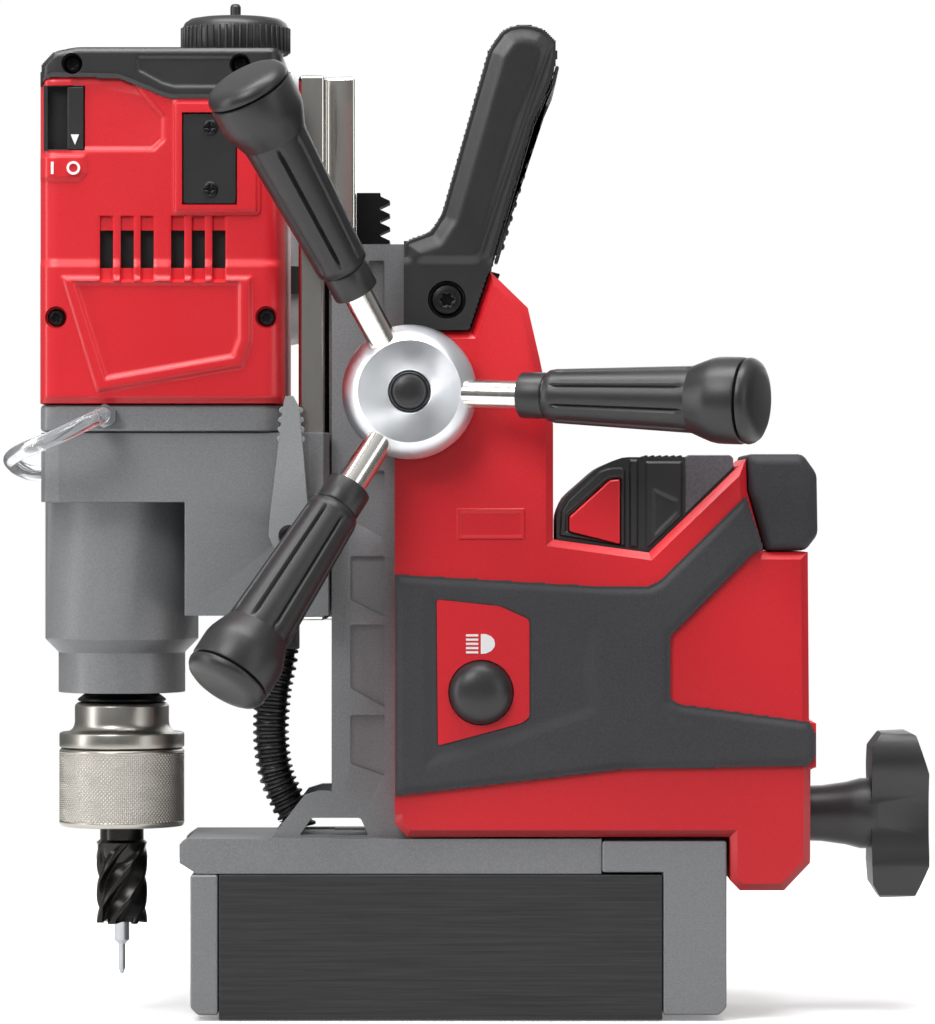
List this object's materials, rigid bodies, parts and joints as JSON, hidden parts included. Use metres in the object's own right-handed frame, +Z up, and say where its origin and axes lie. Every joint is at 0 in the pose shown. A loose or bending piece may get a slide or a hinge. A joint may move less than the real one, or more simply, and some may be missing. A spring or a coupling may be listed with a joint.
{
  "type": "magnetic drill press",
  "caption": "Cordless drill head on a rack-fed slide and column, fixed to work by a switched magnet in its base, with feed handles, battery and coolant bottle.",
  "frame": {"origin": "centre of the magnet's bottom face, which sits on the work", "axes": "+Z up, away from the work; +X towards the rear, where the magnet switch knob is; the feed handles are on the -Y side"},
  "size_m": [0.3806, 0.2324, 0.426],
  "materials": {
    "magnet_steel": "black painted, brushed",
    "cast_grey": "satin grey paint on casting",
    "gib_black": "blackened steel",
    "bronze": "sintered bronze",
    "red_nylon": "satin moulded",
    "rubber_grip": "fine grained",
    "black_rubber": "soft matt",
    "black_nylon": "fine grained",
    "battery_plastic": "satin",
    "circuit_board": "solder resist",
    "steel": "ground",
    "turned_aluminium": "turned",
    "nickel_steel": "bright nickel plated",
    "knurled_steel": "knurled, satin nickel",
    "black_steel": "black oxide",
    "tool_steel": "ground, dark coated",
    "copper_winding": "enamelled copper",
    "clear_hose": "clear flexible vinyl",
    "bottle_plastic": "translucent",
    "conduit_black": "corrugated nylon"
  },
  "bodies": {
    "base": {"magnet_block": "magnet_steel", "front_end_plate": "cast_grey", "rear_end_block": "cast_grey", "column_casting": "cast_grey", "gib_near": "gib_black", "gib_far": "gib_black", "hub_bushing_near": "bronze", "hub_bushing_far": "bronze", "housing_near": "red_nylon", "housing_far": "red_nylon", "overmould_near": "rubber_grip", "overmould_far": "rubber_grip", "bay_cap": "rubber_grip", "light_panel": "red_nylon", "carry_handle": "black_nylon", "handle_grip": "black_rubber", "battery_receiver": "black_nylon", "control_board": "circuit_board", "wiring_conduit": "conduit_black"},
    "carriage": {"slide_rail": "nickel_steel", "feed_rack": "black_steel", "gearbox_casting": "cast_grey", "gearbox_cover": "cast_grey", "motor_housing_near": "red_nylon", "motor_housing_far": "red_nylon", "motor_top_cap": "black_nylon", "nameplate": "black_nylon", "motor_stator": "copper_winding", "spindle_bearing_lower": "steel", "spindle_bearing_upper": "steel", "hose_fitting": "steel", "coolant_hose": "clear_hose", "coolant_bottle": "bottle_plastic", "bottle_bracket": "black_nylon", "conduit_gland": "black_nylon"},
    "feed_hub": {"pinion_shaft": "steel", "feed_hub": "turned_aluminium", "hub_cap": "black_rubber", "feed_spoke_1": "nickel_steel", "feed_grip_1": "black_rubber", "feed_spoke_2": "nickel_steel", "feed_grip_2": "black_rubber", "feed_spoke_3": "nickel_steel", "feed_grip_3": "black_rubber"},
    "rotor": {"motor_rotor": "steel"},
    "spindle": {"spindle": "black_steel", "spindle_gear": "steel", "arbor": "nickel_steel", "annular_cutter": "tool_steel"},
    "chuck_sleeve": {"chuck_sleeve": "knurled_steel"},
    "pilot_pin": {"pilot_pin": "steel"},
    "lock_lever": {"lock_lever": "cast_grey"},
    "power_slider": {"power_slider": "black_nylon"},
    "light_button": {"light_button": "black_rubber"},
    "battery": {"battery_case": "battery_plastic"},
    "battery_latch_near": {"battery_latch_near": "red_nylon"},
    "battery_latch_far": {"battery_latch_far": "red_nylon"},
    "magnet_knob": {"magnet_knob": "black_nylon", "knob_shaft": "steel"},
    "bottle_cap": {"bottle_cap": "black_nylon"}
  },
  "joints": [
    {"name": "feed_slide", "type": "slide", "parent": "base", "child": "carriage", "axis": [0, 0, 1], "range_m": [-0.066, 0.076], "deforming": ["wiring_conduit"]},
    {"name": "feed_turn", "type": "hinge", "parent": "base", "child": "feed_hub", "pos_m": [-0.0124, 0, 0.2556], "axis": [0, 1, 0], "range_deg": [-362, 416]},
    {"name": "spindle_spin", "type": "hinge", "parent": "carriage", "child": "spindle", "pos_m": [-0.1325, 0, 0.12], "axis": [0, 0, 1], "continuous": true},
    {"name": "rotor_spin", "type": "hinge", "parent": "carriage", "child": "rotor", "pos_m": [-0.1065, 0, 0.12], "axis": [0, 0, 1], "continuous": true},
    {"name": "chuck_release", "type": "hinge", "parent": "spindle", "child": "chuck_sleeve", "pos_m": [-0.1325, 0, 0.1], "axis": [0, 0, 1], "range_deg": [0, 30], "stiffness_Nm_per_rad": 0.6},
    {"name": "pilot_slide", "type": "slide", "parent": "spindle", "child": "pilot_pin", "axis": [0, 0, 1], "range_m": [0, 0.02], "stiffness_N_per_m": 300},
    {"name": "lock_turn", "type": "hinge", "parent": "carriage", "child": "lock_lever", "pos_m": [-0.0611, -0.05, 0.1974], "axis": [0, 1, 0], "range_deg": [-75, 0]},
    {"name": "power_switch", "type": "slide", "parent": "carriage", "child": "power_slider", "axis": [-1, 0, 0], "range_m": [0, 0.0075]},
    {"name": "cap_turn", "type": "hinge", "parent": "carriage", "child": "bottle_cap", "pos_m": [-0.089, 0.081, 0.41], "axis": [0, 0, 1], "range_deg": [0, 270]},
    {"name": "light_press", "type": "slide", "parent": "base", "child": "light_button", "axis": [0, 1, 0], "range_m": [0, 0.002], "stiffness_N_per_m": 800},
    {"name": "battery_slide", "type": "slide", "parent": "base", "child": "battery", "axis": [0, 0, 1], "range_m": [0, 0.09]},
    {"name": "latch_near_press", "type": "slide", "parent": "battery", "child": "battery_latch_near", "axis": [0, 1, 0], "range_m": [0, 0.0025], "stiffness_N_per_m": 800},
    {"name": "latch_far_press", "type": "slide", "parent": "battery", "child": "battery_latch_far", "axis": [0, -1, 0], "range_m": [0, 0.0025], "stiffness_N_per_m": 800},
    {"name": "magnet_switch", "type": "hinge", "parent": "base", "child": "magnet_knob", "pos_m": [0.19, 0, 0.082], "axis": [1, 0, 0], "range_deg": [0, 180]}
  ],
  "couplings": [
    {"joint": "feed_turn", "follows": "feed_slide", "rad_per_m": 95.238},
    {"joint": "rotor_spin", "follows": "spindle_spin", "ratio": -3.3333}
  ]
}
